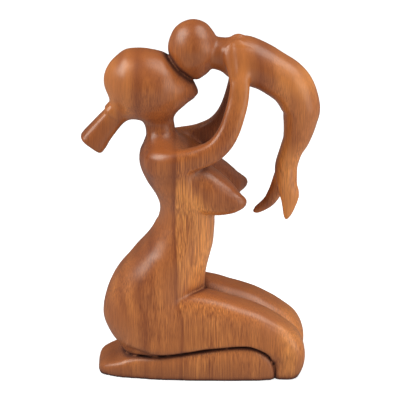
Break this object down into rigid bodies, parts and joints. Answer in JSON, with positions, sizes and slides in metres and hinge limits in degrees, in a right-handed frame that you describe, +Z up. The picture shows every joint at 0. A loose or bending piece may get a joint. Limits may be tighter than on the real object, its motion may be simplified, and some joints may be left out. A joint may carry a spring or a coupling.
{
  "type": "family sculpture",
  "caption": "Carved wooden figure group: a kneeling mother lifts her child in front of her to kiss it; stands on its flat underside.",
  "frame": {"origin": "on the surface it stands on, under the middle of the figure's length and width", "axes": "+X the way the mother faces, +Y to her left hand, +Z up"},
  "size_m": [0.2013, 0.0848, 0.3065],
  "materials": {
    "wood": "satin"
  },
  "bodies": {
    "root": {"mother_and_child": "wood"}
  },
  "joints": []
}
